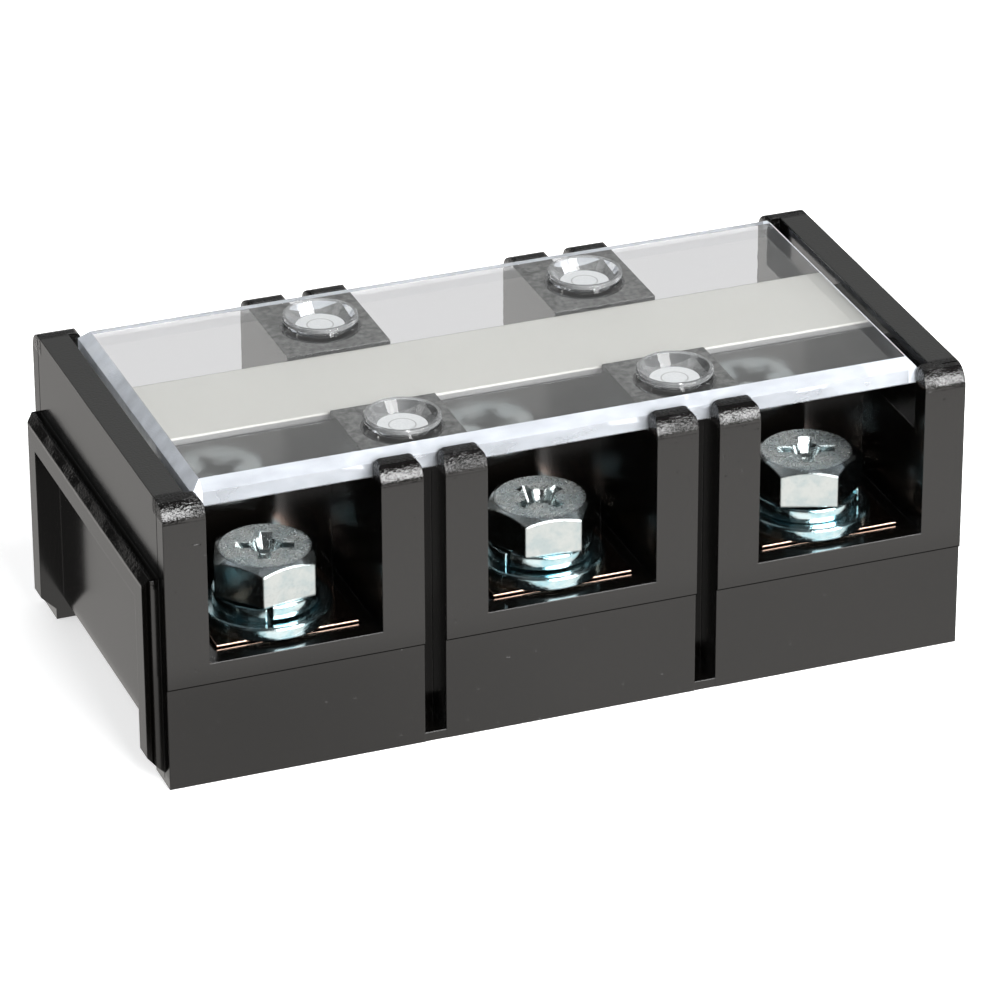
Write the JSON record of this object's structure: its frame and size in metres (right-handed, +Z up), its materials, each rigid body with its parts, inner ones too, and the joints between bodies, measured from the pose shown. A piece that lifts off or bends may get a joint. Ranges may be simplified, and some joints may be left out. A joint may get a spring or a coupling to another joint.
{
  "type": "barrier terminal strip",
  "caption": "Screw terminal block with open barrier bays, hexagon-head screws with washers, a centre marker strip and a clear press-in cover.",
  "frame": {"origin": "middle of the underside, counting the rail on the left-hand end", "axes": "+X along the block to the end without the rail, -Y the front, +Z up"},
  "size_m": [0.0866, 0.043, 0.0323],
  "materials": {
    "housing": "glossy moulded black",
    "clear_cover": "clear polished",
    "marker": "matt light grey",
    "copper": "bright copper alloy",
    "zinc_steel": "bright zinc plate"
  },
  "bodies": {
    "housing": {"body": "housing", "marker_strip": "marker", "terminal_plate_1": "copper", "terminal_plate_2": "copper", "terminal_plate_3": "copper"},
    "cover": {"cover": "clear_cover"},
    "washers_front_1": {"spring_washer_front_1": "zinc_steel", "flat_washer_front_1": "zinc_steel"},
    "screw_front_1": {"screw_front_1": "zinc_steel"},
    "washers_front_2": {"spring_washer_front_2": "zinc_steel", "flat_washer_front_2": "zinc_steel"},
    "screw_front_2": {"screw_front_2": "zinc_steel"},
    "washers_front_3": {"spring_washer_front_3": "zinc_steel", "flat_washer_front_3": "zinc_steel"},
    "screw_front_3": {"screw_front_3": "zinc_steel"},
    "washers_rear_1": {"spring_washer_rear_1": "zinc_steel", "flat_washer_rear_1": "zinc_steel"},
    "screw_rear_1": {"screw_rear_1": "zinc_steel"},
    "washers_rear_2": {"spring_washer_rear_2": "zinc_steel", "flat_washer_rear_2": "zinc_steel"},
    "screw_rear_2": {"screw_rear_2": "zinc_steel"},
    "washers_rear_3": {"spring_washer_rear_3": "zinc_steel", "flat_washer_rear_3": "zinc_steel"},
    "screw_rear_3": {"screw_rear_3": "zinc_steel"}
  },
  "joints": [
    {"name": "cover_lift", "type": "slide", "parent": "housing", "child": "cover", "axis": [0, 0, 1], "range_m": [0, 0.03]},
    {"name": "screw_front_1_lift", "type": "slide", "parent": "housing", "child": "washers_front_1", "axis": [0, 0, 1], "range_m": [0, 0.005]},
    {"name": "screw_front_1_turn", "type": "hinge", "parent": "washers_front_1", "child": "screw_front_1", "pos_m": [-0.0288, -0.0137, 0.018], "axis": [0, 0, 1], "range_deg": [0, 1800]},
    {"name": "screw_front_2_lift", "type": "slide", "parent": "housing", "child": "washers_front_2", "axis": [0, 0, 1], "range_m": [0, 0.005]},
    {"name": "screw_front_2_turn", "type": "hinge", "parent": "washers_front_2", "child": "screw_front_2", "pos_m": [0.0003, -0.0137, 0.018], "axis": [0, 0, 1], "range_deg": [0, 1800]},
    {"name": "screw_front_3_lift", "type": "slide", "parent": "housing", "child": "washers_front_3", "axis": [0, 0, 1], "range_m": [0, 0.005]},
    {"name": "screw_front_3_turn", "type": "hinge", "parent": "washers_front_3", "child": "screw_front_3", "pos_m": [0.0294, -0.0137, 0.018], "axis": [0, 0, 1], "range_deg": [0, 1800]},
    {"name": "screw_rear_1_lift", "type": "slide", "parent": "housing", "child": "washers_rear_1", "axis": [0, 0, 1], "range_m": [0, 0.005]},
    {"name": "screw_rear_1_turn", "type": "hinge", "parent": "washers_rear_1", "child": "screw_rear_1", "pos_m": [-0.0288, 0.0137, 0.018], "axis": [0, 0, 1], "range_deg": [0, 1800]},
    {"name": "screw_rear_2_lift", "type": "slide", "parent": "housing", "child": "washers_rear_2", "axis": [0, 0, 1], "range_m": [0, 0.005]},
    {"name": "screw_rear_2_turn", "type": "hinge", "parent": "washers_rear_2", "child": "screw_rear_2", "pos_m": [0.0003, 0.0137, 0.018], "axis": [0, 0, 1], "range_deg": [0, 1800]},
    {"name": "screw_rear_3_lift", "type": "slide", "parent": "housing", "child": "washers_rear_3", "axis": [0, 0, 1], "range_m": [0, 0.005]},
    {"name": "screw_rear_3_turn", "type": "hinge", "parent": "washers_rear_3", "child": "screw_rear_3", "pos_m": [0.0294, 0.0137, 0.018], "axis": [0, 0, 1], "range_deg": [0, 1800]}
  ],
  "couplings": [
    {"joint": "screw_front_1_turn", "follows": "screw_front_1_lift", "rad_per_m": 6283.2},
    {"joint": "screw_front_2_turn", "follows": "screw_front_2_lift", "rad_per_m": 6283.2},
    {"joint": "screw_front_3_turn", "follows": "screw_front_3_lift", "rad_per_m": 6283.2},
    {"joint": "screw_rear_1_turn", "follows": "screw_rear_1_lift", "rad_per_m": 6283.2},
    {"joint": "screw_rear_2_turn", "follows": "screw_rear_2_lift", "rad_per_m": 6283.2},
    {"joint": "screw_rear_3_turn", "follows": "screw_rear_3_lift", "rad_per_m": 6283.2}
  ]
}
